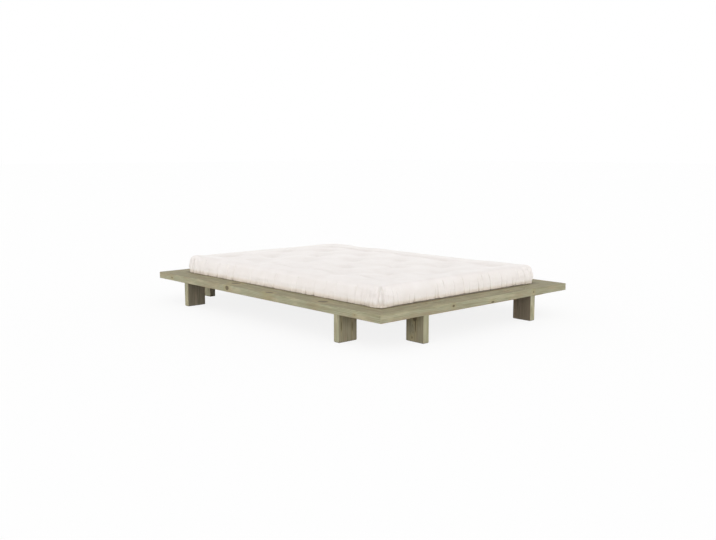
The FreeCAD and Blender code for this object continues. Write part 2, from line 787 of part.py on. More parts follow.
def make_futon():
    """The futon: crowned and tufted on top, bellied at its sides and round at its corners."""
    half_length = value(f"{RECESS_LENGTH} / 2 + futon_belly")
    end = value("futon_belly + futon_gap + futon_pinch + futon_draw + futon_lean")
    flat = half_length - end
    step = value("tuft_along") / 2
    rows = int((flat - step / 4) / step)
    stations = [half_length - end * share for share in END_SHARES]
    stations += [row * step for row in range(rows, 0, -1)]
    narrowest = value(f"{RECESS_WIDTH} / 2 + futon_belly - futon_corner - futon_lean - futon_top_round")
    columns = int(narrowest * 2 / value("tuft_across"))
    places = [-y for y in stations] + [0] + stations[::-1]
    wires = [futon_section(y, half_length, flat, columns) for y in places]
    futon = doc.addObject("Part::Feature", "futon")
    futon.Label = "futon"
    futon.Shape = Part.makeLoft(wires, True, True)
    futon.Placement = FreeCAD.Placement()
    nodes.append(futon)


def check():
    """Stops if an object failed, a cut missed its piece or a shape is broken."""
    doc.recompute()
    for item in doc.Objects:
        if "Invalid" in item.State or "Error" in item.State:
            raise RuntimeError(f"{item.Label} failed: {item.State}")
        if item.TypeId == "PartDesign::Pocket":
            if item.Shape.Volume >= item.BaseFeature.Shape.Volume:
                raise RuntimeError(f"{item.Label} cuts nothing")
    for node in nodes:
        if node.Shape.isNull() or not node.Shape.isValid():
            raise RuntimeError(f"{node.Label} has no valid shape")


for side in SIDES:
    make_rail(side)
    make_leg(side, 1, -1)
    make_leg(side, 2, 1)
    make_batten(side)
    make_spline(f"spline_{side}", side)
    make_plate(f"corner_plate_{side}", side)
make_beam()
make_post()
for number in range(SIZES["slat_count"]):
    make_slat(number)
make_strap("strap_left", -1)
make_strap("strap_right", 1)
make_fasteners()
make_pads()
make_futon()
check()

os.makedirs("parts", exist_ok=True)
for node in nodes:
    node.Shape.exportStep(f"parts/{node.Label}.step")
print(len(nodes), "nodes")
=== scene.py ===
import math
import random

import bmesh
import bpy
import numpy as np
from mathutils import Euler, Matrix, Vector, noise


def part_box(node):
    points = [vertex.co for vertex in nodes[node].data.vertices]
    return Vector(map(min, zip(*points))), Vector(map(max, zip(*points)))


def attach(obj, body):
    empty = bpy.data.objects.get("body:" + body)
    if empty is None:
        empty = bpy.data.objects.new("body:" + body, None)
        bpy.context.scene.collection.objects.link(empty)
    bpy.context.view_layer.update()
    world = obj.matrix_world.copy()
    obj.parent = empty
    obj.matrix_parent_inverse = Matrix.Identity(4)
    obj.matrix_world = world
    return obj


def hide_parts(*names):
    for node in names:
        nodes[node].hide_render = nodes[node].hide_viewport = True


# A low pine platform bed, stained olive grey, with a natural cotton futon in its recess.
# Metres, in the frame of the bed: origin on the floor under its middle, +Y to the head.

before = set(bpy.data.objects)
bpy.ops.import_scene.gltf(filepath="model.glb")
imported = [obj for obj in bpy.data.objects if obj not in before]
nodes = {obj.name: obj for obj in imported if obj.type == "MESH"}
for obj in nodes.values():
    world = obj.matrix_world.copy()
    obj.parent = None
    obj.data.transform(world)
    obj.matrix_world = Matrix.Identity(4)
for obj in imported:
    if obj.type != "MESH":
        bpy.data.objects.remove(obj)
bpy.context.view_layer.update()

# Camera, as the photograph's edges place it: metres and radians, and its lens in millimetres
CAMERA_PLACE = (-4.053, -4.475, 1.085)
CAMERA_HEADING = 0.7409
CAMERA_DIP = 0.1366
CAMERA_LENS = 44.32
CAMERA_SENSOR = 36

# Light: an even surround, brighter low down so that upright and level faces match, and a
# weak lamp from the camera's side
LAMP_HEADING = math.radians(40)
LAMP_HEIGHT = math.radians(38)
LAMP_STRENGTH = 0.3
LAMP_SPREAD = math.radians(30)
SKY_STRENGTH = 0.68
HORIZON_STRENGTH = 3.2
HORIZON_TOP_SHARE = 0.5

# Floor: how far it runs, how much of it is lit so that it takes a shadow, and how much light
# it gives back to the bed
FLOOR_REACH = 60
FLOOR_SHADOW_SHARE = 0.16
FLOOR_BOUNCE = 0.3
WHITE = (1, 1, 1, 1)

# The bed's four sides, and which way each faces
WAYS = {"foot": (0, -1), "right": (1, 0), "head": (0, 1), "left": (-1, 0)}


def linear(text):
    """An sRGB hex colour as linear RGBA."""
    channels = [int(text[i:i + 2], 16) / 255 for i in (1, 3, 5)]
    curve = [c / 12.92 if c <= 0.04045 else ((c + 0.055) / 1.055) ** 2.4 for c in channels]
    return (*curve, 1)


def add_node(tree, kind, settings, inputs):
    """Adds a shader node; an input takes a plain value or another node's socket."""
    made = tree.nodes.new("ShaderNode" + kind)
    for name, setting in settings.items():
        setattr(made, name, setting)
    for socket, given in inputs.items():
        if isinstance(given, bpy.types.NodeSocket):
            tree.links.new(given, made.inputs[socket])
        else:
            made.inputs[socket].default_value = given
    return made


def math_node(tree, operation, *given):
    """Adds a sum of plain values or sockets, in the node's order."""
    return add_node(tree, "Math", {"operation": operation}, dict(enumerate(given))).outputs[0]


def vector_node(tree, operation, *given):
    """The same for vectors."""
    return add_node(tree, "VectorMath", {"operation": operation}, dict(enumerate(given))).outputs[0]


def length_node(tree, vector):
    """Adds a vector's length."""
    return add_node(tree, "VectorMath", {"operation": "LENGTH"}, {0: vector}).outputs["Value"]


def fade_node(tree, value, ends, share=1):
    """Adds a smooth step from 0 at the first of two ends to a share at the second."""
    return add_node(tree, "MapRange", {"interpolation_type": "SMOOTHSTEP"}, {
        "Value": value, "From Min": ends[0], "From Max": ends[1], "To Max": share,
    }).outputs["Result"]


def mix_node(tree, share, colour, other, blend="MIX"):
    """Blends a share of another colour, a socket or in hex, into a colour."""
    if isinstance(other, str):
        other = linear(other)
    return add_node(tree, "Mix", {"data_type": "RGBA", "blend_type": blend}, {
        0: share, 6: colour, 7: other}).outputs[2]


def bump_node(tree, height, strength, distance):
    """Turns a height into relief of this strength over this distance."""
    return add_node(tree, "Bump", {}, {
        "Height": height, "Strength": strength, "Distance": distance}).outputs["Normal"]


def paint_ramp(ramp, stops):
    """Sets a colour ramp's stops from (place, hex colour) pairs."""
    elements = ramp.color_ramp.elements
    while len(elements) < len(stops):
        elements.new(0.5)
    for element, (place, colour) in zip(elements, stops):
        element.position = place
        element.color = linear(colour)


def new_material(name):
    """An empty node material and its tree."""
    material = bpy.data.materials.new(name)
    material.use_nodes = True
    material.node_tree.nodes.clear()
    return material, material.node_tree


def close_material(tree, inputs):
    """Ends a material in one principled surface."""
    surface = add_node(tree, "BsdfPrincipled", {}, inputs)
    add_node(tree, "OutputMaterial", {}, {"Surface": surface.outputs["BSDF"]})


# Pine, plain-sawn: light early wood, a narrow dark late-wood line, and short live knots.
# The olive stain fills the soft early wood, so the board keeps its grain but loses its yellow.
STAINED = {
    "rings": (
        (0, "#AEAB90"), (0.55, "#A9A68A"), (0.86, "#989475"), (0.95, "#928E6F"), (1, "#ACA98D")),
    "streak": "#7F7A5A",
    "streak_share": 0.6,
    "warm": "#A39478",
    "pale": "#BDB494",
    "halo": "#A99A70",
    "knot": ((0, "#5F5139"), (0.4, "#6E6146"), (0.85, "#4C432F"), (1, "#6A6149")),
    "roughness": 0.62,
}
BARE = {
    "rings": (
        (0, "#DFC296"), (0.55, "#D8B987"), (0.86, "#BE9562"), (0.95, "#B4884F"), (1, "#DABB8C")),
    "streak": "#B78E58",
    "streak_share": 0.7,
    "warm": "#CFA878",
    "pale": "#E6CFA6",
    "halo": "#C99B5E",
    "knot": ((0, "#8A5A33"), (0.45, "#9A6A3E"), (0.8, "#5B3820"), (1, "#7C5430")),
    "roughness": 0.7,
}
# Growth rings 6.2 mm apart, and how fast the trunk tapers across them.
RING_GAP = 0.0062
TREE_TAPER = 0.011
# Noise cells to the metre, along the grain and across it: the grain's slow wander (0.8 m by
# 200 mm), its fibres (310 by 8 mm, coarser than real ones so that they show from a step away)
# and the places of small knots (380 by 110 by 330 mm).
WANDER_CELLS = (1.3, 5, 5)
FIBRE_CELLS = (3.2, 120, 120)
SPOT_CELLS = (2.6, 9, 3)
WANDER_REACH = 0.028
# Noise between these values turns into late-wood streaks and into patches.
STREAK_RANGE = (0.48, 0.74)
PATCH_RANGE = (0.48, 0.72)
# Patches where the wood takes the finish unevenly: shade, cells to the metre and strength.
# They are about 180 by 40 mm, 140 by 30 mm and 240 by 15 mm.
PATCHES = (
    ("warm", (5.5, 24, 24), 0.75),
    ("pale", (7, 31, 31), 0.75),
    ("streak", (4.1, 66, 66), 0.5),
)
# Knots, in radii from a knot's middle: how far it runs into the board in metres, how many
# radii a small knot's cell is wide, how ragged its rim is, where rim and halo of resin fade,
# and over how many rings and how closely the grain bends round it.
KNOT_DEPTH = 0.05
SPOT_SPACING = 13
KNOT_RAGGED = 1.1
KNOT_RANGE = (1.2, 0.6)
KNOT_SHARE = 0.95
HALO_RANGE = (2.8, 1)
HALO_SHARE = 0.45
BEND_RINGS = 1.8
BEND_NEARNESS = 0.36
# Late wood lies a little lower than early wood, as a share of how far the fibres stand up.
RING_RELIEF = -0.25
# A face counts as broad and flat between these shares of facing square.
FLAT_RANGE = (0.6, 0.95)
# How far from one slice of timber to the next the patterns are read.
SLICE_STEP = (1.7, 3.1, 0.9)
GRAIN_TURN = {
    "x": Euler((0, 0, 0)),
    "y": Euler((0, 0, math.radians(90))),
    "z": Euler((0, math.radians(-90), 0)),
}
NO_TINT = "#FFFFFF"
# The strip of the ledge beside the futon, and the painted shadow on it.
SHADED_STRIP = 0.042
LEDGE_PAINTED_SHADOW = "#C9C2BA"


def knot_reach(tree, local, apart, knots, turn, middle):
    """Distance to the nearest knot, 1 at its rim; a faint knot starts further out."""
    nearest = None
    for spot, radius, drawn, through, faint in knots:
        spot_local = turn.to_matrix().inverted() @ (Vector(spot) - middle)
        shape = Vector((1 / (radius * drawn), 1 / radius, 1 / radius))
        if through == "y":
            shape.y = 1 / KNOT_DEPTH
        if through == "z":
            shape.z = 1 / KNOT_DEPTH
        shift = -Vector((a * b for a, b in zip(spot_local, shape)))
        away = vector_node(tree, "MULTIPLY_ADD", local, shape, shift)
        gap = length_node(tree, away)
        gap = math_node(tree, "ADD", gap, faint)
        if nearest is None:
            nearest = gap
        else:
            nearest = math_node(tree, "MINIMUM", nearest, gap)
    if nearest is None:
        scattered = vector_node(tree, "MULTIPLY", apart, SPOT_CELLS)
        cell = add_node(tree, "TexVoronoi", {}, {"Vector": scattered, "Scale": 1})
        nearest = math_node(tree, "MULTIPLY", cell.outputs["Distance"], SPOT_SPACING)
    return nearest


def growth_rings(tree, local, apart, nearest, pith):
    """How far through its year the wood is, 0 to 1, in rings that wander and bend round knots."""
    slow = vector_node(tree, "MULTIPLY", apart, WANDER_CELLS)
    wander = add_node(tree, "TexNoise", {}, {
        "Vector": slow, "Scale": 1, "Detail": 2, "Roughness": 0.45}).outputs["Color"]
    sway = vector_node(tree, "MULTIPLY_ADD", wander, (0, WANDER_REACH, WANDER_REACH), local)
    spoke = vector_node(tree, "MULTIPLY_ADD", sway, (0, 1 / RING_GAP, 1 / RING_GAP),
                        (0, -pith[0] / RING_GAP, -pith[1] / RING_GAP))
    radius = length_node(tree, spoke)
    lengthwise = add_node(tree, "SeparateXYZ", {}, {0: local}).outputs["X"]
    rings = math_node(tree, "MULTIPLY_ADD", lengthwise, TREE_TAPER / RING_GAP, radius)

    bend = math_node(tree, "MULTIPLY", nearest, BEND_NEARNESS)
    bend = math_node(tree, "POWER", bend, 2)
    bend = math_node(tree, "MULTIPLY", bend, -1)
    bend = math_node(tree, "EXPONENT", bend)
    rings = math_node(tree, "MULTIPLY_ADD", bend, BEND_RINGS, rings)
    return math_node(tree, "FRACT", rings)


def uneven_finish(tree, apart, finish, colour):
    """Hand-wide patches where the wood takes the finish warmer, paler or darker."""
    for shade, cells, share in PATCHES:
        broad_place = vector_node(tree, "MULTIPLY", apart, cells)
        patch = add_node(tree, "TexNoise", {}, {
            "Vector": broad_place, "Scale": 1, "Detail": 3, "Roughness": 0.55}).outputs["Fac"]
        amount = fade_node(tree, patch, PATCH_RANGE, share)
        colour = mix_node(tree, amount, colour, finish[shade])
    return colour


def paint_shade_on_flats(tree, axis, tint, colour):
    """Painted shade: darkens the faces square to an axis by a tint, for the light that those faces
    miss.
    """
    facing = add_node(tree, "NewGeometry", {}, {}).outputs["Normal"]
    outward = add_node(tree, "SeparateXYZ", {}, {0: facing}).outputs[axis.upper()]
    outward = math_node(tree, "ABSOLUTE", outward)
    flat = add_node(tree, "MapRange", {}, {
        "Value": outward, "From Min": FLAT_RANGE[0], "From Max": FLAT_RANGE[1]}).outputs["Result"]
    return mix_node(tree, flat, colour, tint, "MULTIPLY")


def paint_ledge_shadow(tree, place, colour):
    """Painted shadow: darkens the strip of the ledge beside the futon, which the futon keeps from
    the light.
    """
    inner = (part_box("rail_right")[0].x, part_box("rail_head")[0].y, 0)
    away = vector_node(tree, "ABSOLUTE", place)
    away = vector_node(tree, "SUBTRACT", away, inner)
    sides = add_node(tree, "SeparateXYZ", {}, {0: away}).outputs
    gap = math_node(tree, "MAXIMUM", sides["X"], sides["Y"])
    share = fade_node(tree, gap, (SHADED_STRIP, 0))
    return mix_node(tree, share, colour, LEDGE_PAINTED_SHADOW, "MULTIPLY")


def paint_knots(tree, nearest, fibre, finish, colour):
    """Knots with ragged rims, in a halo of resin."""
    uneven = math_node(tree, "MULTIPLY_ADD", fibre, KNOT_RAGGED, -KNOT_RAGGED / 2)
    rim = math_node(tree, "ADD", nearest, uneven)
    glow = fade_node(tree, rim, HALO_RANGE, HALO_SHARE)
    colour = mix_node(tree, glow, colour, finish["halo"])
    inside = fade_node(tree, rim, KNOT_RANGE, KNOT_SHARE)
    knotty = add_node(tree, "ValToRGB", {}, {"Fac": nearest})
    paint_ramp(knotty, finish["knot"])
    return mix_node(tree, inside, colour, knotty.outputs["Color"])


def pine(name, board, along, finish, number, pith, knots=(), broad="z", tint=NO_TINT):
    """Sawn pine for one board: a numbered slice of growth rings that run along the board."""
    material, tree = new_material(name)
    low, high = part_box(board)
    middle = (low + high) / 2
    turn = GRAIN_TURN[along]
    place = add_node(tree, "TexCoord", {}, {}).outputs["Object"]
    local = add_node(tree, "Mapping", {"vector_type": "TEXTURE"}, {
        "Vector": place, "Location": middle, "Rotation": turn}).outputs["Vector"]
    apart = vector_node(tree, "ADD", local, [number * step for step in SLICE_STEP])
    fine = vector_node(tree, "MULTIPLY", apart, FIBRE_CELLS)
    fibre = add_node(tree, "TexNoise", {}, {
        "Vector": fine, "Scale": 1, "Detail": 4, "Roughness": 0.6}).outputs["Fac"]
    nearest = knot_reach(tree, local, apart, knots, turn, middle)
    year = growth_rings(tree, local, apart, nearest, pith)

    wood = add_node(tree, "ValToRGB", {}, {"Fac": year})
    paint_ramp(wood, finish["rings"])
    streaks = fade_node(tree, fibre, STREAK_RANGE, finish["streak_share"])
    colour = mix_node(tree, streaks, wood.outputs["Color"], finish["streak"])
    colour = uneven_finish(tree, apart, finish, colour)
    # Painted shade on the broad faces.
    colour = paint_shade_on_flats(tree, broad, tint, colour)
    # On the rails, a painted shadow on the ledge beside the futon.
    if board.startswith("rail_"):
        colour = paint_ledge_shadow(tree, place, colour)
    colour = paint_knots(tree, nearest, fibre, finish, colour)

    relief = math_node(tree, "MULTIPLY_ADD", year, RING_RELIEF, fibre)
    bump = bump_node(tree, relief, strength=0.35, distance=0.0006)
    grit = add_node(tree, "MapRange", {}, {
        "Value": fibre, "To Min": finish["roughness"] - 0.08, "To Max": finish["roughness"] + 0.1})
    close_material(tree, {
        "Base Color": colour,
        "Roughness": grit.outputs["Result"],
        "Normal": bump,
        "Specular IOR Level": 0.35,
    })
    return material


def dress(name, material):
    """Gives a carried-over piece its material."""
    for slot in nodes[name].material_slots:
        slot.material = material


# Knots that show: place on the board's face, radius, how far it is drawn out along the
# grain, the local axis that it runs through the board on, and how faint it is.
KNOTS = {
    "rail_left": (
        ((-0.85, 0.293, 0.186), 0.0160, 1.25, "y", 0.0),
        ((-0.85, 0.981, 0.179), 0.0095, 1.6, "y", 0.4),
        ((-0.85, -0.946, 0.181), 0.0100, 1.6, "y", 0.8),
        ((-0.7586, 0.3195, 0.205), 0.0310, 1.1, "z", 0.0),
        ((-0.826, -0.135, 0.205), 0.0190, 1.9, "z", 0.0),
        ((-0.7928, -0.6094, 0.205), 0.0280, 1.3, "z", 0.0),
    ),
    "rail_foot": (
        ((-0.263, -1.15, 0.187), 0.0110, 1.3, "y", 0.25),
        ((0.093, -1.15, 0.168), 0.0090, 2.4, "y", 0.3),
        ((0.50, -1.15, 0.186), 0.0170, 1.0, "y", 0.65),
        ((0.33, -1.08, 0.205), 0.0150, 1.6, "z", 0.4),
        ((-0.40, -1.06, 0.205), 0.0150, 1.8, "z", 0.5),
    ),
    "rail_right": (
        ((0.85, 0.55, 0.184), 0.0105, 1.5, "y", 0.2),
        ((0.85, -0.31, 0.178), 0.0110, 1.4, "y", 0.1),
        ((0.85, -0.86, 0.188), 0.0080, 1.6, "y", 0.3),
        ((0.77, 0.24, 0.205), 0.0170, 1.5, "z", 0.1),
        ((0.80, -0.62, 0.205), 0.0160, 1.6, "z", 0.2),
    ),
    "rail_head": (
        ((-0.52, 1.15, 0.182), 0.0110, 1.5, "y", 0.2),
        ((0.18, 1.15, 0.188), 0.0105, 1.4, "y", 0.1),
        ((0.61, 1.15, 0.176), 0.0090, 1.6, "y", 0.3),
        ((-0.15, 1.07, 0.205), 0.0170, 1.5, "z", 0.1),
        ((0.44, 1.09, 0.205), 0.0160, 1.6, "z", 0.2),
    ),
    "leg_foot_1": (
        ((-0.515, -1.081, 0.140), 0.0170, 1.3, "z", 0.0),
        ((-0.515, -1.088, 0.095), 0.0050, 9.0, "z", 0.1),
        ((-0.515, -1.062, 0.024), 0.0130, 1.3, "z", 0.5),
    ),
    "leg_left_2": (
        ((-0.750, -0.815, 0.085), 0.0040, 9.0, "y", 0.2),
        ((-0.831, -0.815, 0.095), 0.0035, 12.0, "y", 0.3),
    ),
}
# Painted shade: how much darker a rail's top and each leg's wide faces are painted, for the light
# they miss; the legs further under the bed are painted darker.
LEDGE_TOP_PAINTED_SHADE = "#DFDAD1"
LEG_PAINTED_SHADE = "#DCD5D6"
LEG_PAINTED_SHADES = {
    "leg_left_2": "#E8E2E2",
    "leg_foot_1": "#DCD8D8",
    "leg_left_1": "#C9C2CA",
    "leg_foot_2": "#C2B6BC",
}
# This one is painted with shade on its narrow faces instead of its wide ones, as those lie in
# shade.
NARROW_SHADED_LEG = "leg_head_2"
NARROW_FACE_PAINTED_SHADE = "#C8C6CC"


# Each kind of board starts at its own slice of the timber.
RAIL_SLICE = 11
BATTEN_SLICE = 21
LEG_SLICE = 31
BEAM_SLICE = 51
POST_SLICE = 52
SLAT_SLICE = 61
# Where the tree's pith lies from a board's middle, to the side and up. It steps sideways from
# rail to rail, and both ways from slat to slat.
PITH = (0.02, -0.06)
RAIL_PITH = (0.018, -0.07)
RAIL_PITH_STEP = 0.012
LEG_PITH = (0.03, 0.02)
SLAT_PITH_DEPTH = -0.03
SLAT_PITH_STEPS = (0.015, 0.012)


def dress_rails(index, side, along):
    """One side's rail and batten, with the grain along them."""
    rail = f"rail_{side}"
    pith = (RAIL_PITH[0] - RAIL_PITH_STEP * index, RAIL_PITH[1])
    dress(rail, pine(f"stained_pine_{rail}", rail, along, STAINED, RAIL_SLICE + index, pith,
                     KNOTS[rail], tint=LEDGE_TOP_PAINTED_SHADE))
    batten = f"batten_{side}"
    dress(batten, pine(f"bare_pine_{batten}", batten, along, BARE, BATTEN_SLICE + index, PITH))


def dress_legs(index, side, broad):
    """One side's two legs, with the grain upright and painted shade on their broad faces."""
    for number in (1, 2):
        leg = f"leg_{side}_{number}"
        toned, tint = broad, LEG_PAINTED_SHADES.get(leg, LEG_PAINTED_SHADE)
        if leg == NARROW_SHADED_LEG:
            toned, tint = "y", NARROW_FACE_PAINTED_SHADE
        dress(leg, pine(f"stained_pine_{leg}", leg, "z", STAINED, LEG_SLICE + 2 * index + number,
                        LEG_PITH, KNOTS.get(leg, ()), toned, tint))


def dress_slats():
    """Each slat from another part of the tree."""
    slats = sorted(name for name in nodes if name.startswith("slat_") and name != "slat_screws")
    for index, slat in enumerate(slats):
        sideways, up = SLAT_PITH_STEPS
        pith = (sideways * ((index % 5) - 2), SLAT_PITH_DEPTH - up * (index % 3))
        dress(slat, pine(f"bare_pine_{slat}", slat, "x", BARE, SLAT_SLICE + index, pith))


def dress_boards():
    """Every board gets its own slice of timber."""
    for index, side in enumerate(WAYS):
        along = "x" if side in ("foot", "head") else "y"
        dress_rails(index, side, along)
        dress_legs(index, side, along)
    dress("centre_beam", pine("bare_pine_beam", "centre_beam", "y", BARE, BEAM_SLICE, PITH))
    dress("centre_post", pine("bare_pine_post", "centre_post", "z", BARE, POST_SLICE, PITH))
    dress_slats()


# Patterns of the fittings. Noise is given in cells to the metre: clouds of zinc 6 mm wide,
# felt mottled at 1.4 mm, and flecks of beech 1 by 11 mm. The rest are in metres.
SPANGLE_CELLS = 180
FELT_CELLS = 700
FLECK_CELLS = (900, 900, 90)
TAPE_YARN = 0.0025
TAPE_HERRINGBONE = 0.005
PLY_THICK = 0.0015


def zinc_steel():
    """Bright zinc plate on pressed steel: a pale grey metal with faint cloudy spangle."""
    material, tree = new_material("zinc_plated_steel")
    place = add_node(tree, "TexCoord", {}, {}).outputs["Object"]
    cloud = add_node(tree, "TexNoise", {}, {
        "Vector": place, "Scale": SPANGLE_CELLS, "Detail": 3, "Roughness": 0.6}).outputs["Fac"]
    tone = add_node(tree, "ValToRGB", {}, {"Fac": cloud})
    paint_ramp(tone, ((0.3, "#B4B7BA"), (0.7, "#CDD0D2")))
    haze = add_node(tree, "MapRange", {}, {
        "Value": cloud, "To Min": 0.28, "To Max": 0.5}).outputs["Result"]
    bump = bump_node(tree, cloud, strength=0.15, distance=0.0002)
    close_material(tree, {
        "Base Color": tone.outputs["Color"], "Metallic": 1, "Roughness": haze, "Normal": bump})
    return material


def grey_felt():
    """Pressed wool felt: matt, mottled grey, with a fuzz of short fibres."""
    material, tree = new_material("pressed_grey_felt")
    place = add_node(tree, "TexCoord", {}, {}).outputs["Object"]
    mottle = add_node(tree, "TexNoise", {}, {
        "Vector": place, "Scale": FELT_CELLS, "Detail": 4, "Roughness": 0.7}).outputs["Fac"]
    tone = add_node(tree, "ValToRGB", {}, {"Fac": mottle})
    paint_ramp(tone, ((0.3, "#4E4C49"), (0.7, "#6F6C67")))
    bump = bump_node(tree, mottle, strength=0.6, distance=0.0006)
    close_material(tree, {
        "Base Color": tone.outputs["Color"], "Roughness": 0.95, "Sheen Weight": 0.3,
        "Normal": bump})
    return material


def webbing():
    """Woven cotton tape: a herringbone of ecru yarns 2.5 mm wide."""
    material, tree = new_material("woven_cotton_tape")
    place = add_node(tree, "TexCoord", {}, {}).outputs["Object"]
    parts = add_node(tree, "SeparateXYZ", {}, {0: place}).outputs
    fold = math_node(tree, "PINGPONG", parts["X"], TAPE_HERRINGBONE)
    slant = math_node(tree, "ADD", fold, parts["Y"])
    yarn = math_node(tree, "MULTIPLY", slant, 2 * math.pi / TAPE_YARN)
    rib = math_node(tree, "SINE", yarn)
    shade = add_node(tree, "MapRange", {}, {
        "Value": rib, "From Min": -1, "From Max": 1}).outputs["Result"]
    tone = add_node(tree, "ValToRGB", {}, {"Fac": shade})
    paint_ramp(tone, ((0, "#BDB396"), (1, "#DDD6C0")))
    bump = bump_node(tree, rib, strength=0.7, distance=0.0005)
    close_material(tree, {
        "Base Color": tone.outputs["Color"], "Roughness": 0.9, "Normal": bump})
    return material


def plywood():
    """Birch plywood: pale veneers and dark glue lines 1.5 mm apart up its thickness."""
    material, tree = new_material("birch_plywood")
    place = add_node(tree, "TexCoord", {}, {}).outputs["Object"]
    parts = add_node(tree, "SeparateXYZ", {}, {0: place}).outputs
    layer = math_node(tree, "PINGPONG", parts["Z"], PLY_THICK)
    step = math_node(tree, "MULTIPLY", layer, 1 / PLY_THICK)
    tone = add_node(tree, "ValToRGB", {}, {"Fac": step})
    paint_ramp(tone, ((0, "#8A6B48"), (0.15, "#CFAE7E"), (1, "#DDC093")))
    close_material(tree, {"Base Color": tone.outputs["Color"], "Roughness": 0.75})
    return material


def beech():
    """Turned beech dowel: pinkish brown with short dark flecks."""
    material, tree = new_material("turned_beech")
    place = add_node(tree, "TexCoord", {}, {}).outputs["Object"]
    drawn = vector_node(tree, "MULTIPLY", place, FLECK_CELLS)
    fleck = add_node(tree, "TexNoise", {}, {
        "Vector": drawn, "Scale": 1, "Detail": 3}).outputs["Fac"]
    tone = add_node(tree, "ValToRGB", {}, {"Fac": fleck})
    paint_ramp(tone, ((0.35, "#B98A5E"), (0.6, "#D2A67A")))
    bump = bump_node(tree, fleck, strength=0.3, distance=0.0003)
    close_material(tree, {"Base Color": tone.outputs["Color"], "Roughness": 0.6, "Normal": bump})
    return material


def dress_fittings():
    """Steel, felt, tape, plywood and beech."""
    plates = [f"corner_plate_{side}" for side in WAYS]
    screws = ["bracket_screws", "plate_screws", "batten_screws", "slat_screws", "strap_tacks"]
    kinds = (
        (zinc_steel(), ["leg_brackets"] + screws + plates),
        (grey_felt(), ["leg_pads"]),
        (webbing(), ["strap_left", "strap_right"]),
        (plywood(), [f"spline_{side}" for side in WAYS]),
        (beech(), ["leg_dowels"]),
    )
    for material, names in kinds:
        for name in names:
            dress(name, material)


# Futon: natural cotton drill over cotton and wool batting, tufted through in staggered rows.
# Its mesh: the even grid that it starts from, what the cover gives before the batting fills
# it, how far it may swell, and for how many frames it does.
FUTON_MESH = 0.016
FUTON_SLACK = 0.005
FUTON_RISE_CAP = 0.010
FUTON_FRAMES = 20
# Its level base is found within this much of the slats, where it faces down, and it is held up
# to this height over the ledge. What stands higher than CROWN_FROM belongs to the top.
BASE_REACH = 0.006
BASE_FACING = -0.5
HELD_TOP = 0.004
CROWN_FROM = 0.06
# Tufts: spacing, rows and columns each way from the middle, how far one may be off its mark,
# how much their strengths differ, how wide and deep they dimple, how wide each is sewn down,
# and how much weaker those by the edge are.
TUFT_ACROSS = 0.25
TUFT_ALONG = 0.20
TUFT_ROWS = 4
TUFT_COLUMNS = 2
TUFT_STRAY = 0.012
TUFT_SEED = 23
TUFT_STRENGTHS = (0.6, 1.3)
TUFT_RADIUS = 0.040
TUFT_DIMPLE = 0.0095
TUFT_SEWN = 0.016
OUTER_TUFTS = 0.35
# The crown's shoulders are smoothed in this many passes, each by this share, from this far
# inside the outline.
SHOULDER_PASSES = 24
SHOULDER_SHARE = 0.5
SHOULDER_RANGE = (0.045, 0.10)
# Folds that run out from each tuft: how many, how strong a second set is beside them, how high
# they are and where they are highest. They and the creases start this far inside the outline.
PUCKER_FOLDS = 6
PUCKER_SECOND_SHARE = 0.6
PUCKER_HEIGHT = 0.0011
PUCKER_REACH = 0.035
PUCKER_RANGE = (0.03, 0.09)
PUCKER_SEED = 41
# Soft creasing of the whole top: spacing, height and layer of noise.
CREASE_GAP = 0.06
CREASE_HEIGHT = 0.0013
CREASE_LAYER = 3
# Rows and strips that the sides are cut into for their pleats, in two rounds: whether the
# upright edges are cut or the level ones, how often, and up to what height over the ledge.
SIDE_CUTS = ((True, 1, 0.02), (False, 2, 1))
SIDE_CUTS_FROM = -0.012
STEEP_SHARE = 0.8
UPRIGHT_SHARE = 0.6

# Plan of the futon: the radius of its corners, how far a corner is felt along the sides, and
# how far in from the outline the sides' shaping reaches and the lip's does.
FUTON_CORNER = 0.052
CORNER_REACH = 0.11
EDGE_REACH = 0.1
LIP_REACH = 0.06
# The forms of the sides are eased over pairs of heights over the ledge: where they start or
# end, and where they are full or gone. At the corners the batting fills a taller stretch.
CORNER_TALLER = 0.03
# A slight hollow between the corners.
SIDE_HOLLOW = 0.006
HOLLOW_RISE = (0, 0.03)
# How far the batting spreads the sides out on the ledge, between the corners and at them.
SPREAD = {"foot": 0.002, "head": 0.002, "left": 0.007, "right": 0.003}
CORNER_SPREAD = 0.008
SPREAD_START = (-0.003, 0.002)
SPREAD_END = (0.006, 0.04)
# The cover hangs to a soft lip on the ledge, thinner between the corners, over a slot.
LIP_START = (0, 0.005)
LIP_END = (0.035, 0.065)
LIP_THINNING = 0.30
THINNING_END = (0.008, 0.045)
SLOT_DEPTH = 0.016
SLOT_START = (-0.027, -0.012)
SLOT_END = (-0.001, 0.003)
# How far its weight lets the lip down, between the corners and at them, and the least gap that
# this leaves over the ledge.
SETTLE = {"foot": 0.0005, "head": 0.003, "left": 0.005, "right": 0.003}
CORNER_SETTLE = 0.004
SETTLE_END = (0.004, 0.03)
LEDGE_GAP = 0.0003
# The top's slight fall just inside the lip, whose own heights replace it nearer the outline: how
# far in it starts, how deep it would be at the outline, and the share of that at the corners.
FALL_REACH = 0.075
FALL_DEPTH = 0.014
FALL_LEAST = 0.25
# Soft swellings of the sides: place in plan, how far out, radius.
SWELLINGS = ((-0.70, -0.955, 0.008, 0.05), (-0.705, -0.66, 0.003, 0.09), (0.30, -1.0, 0.003, 0.09))
SWELLING_START = (0, 0.004)
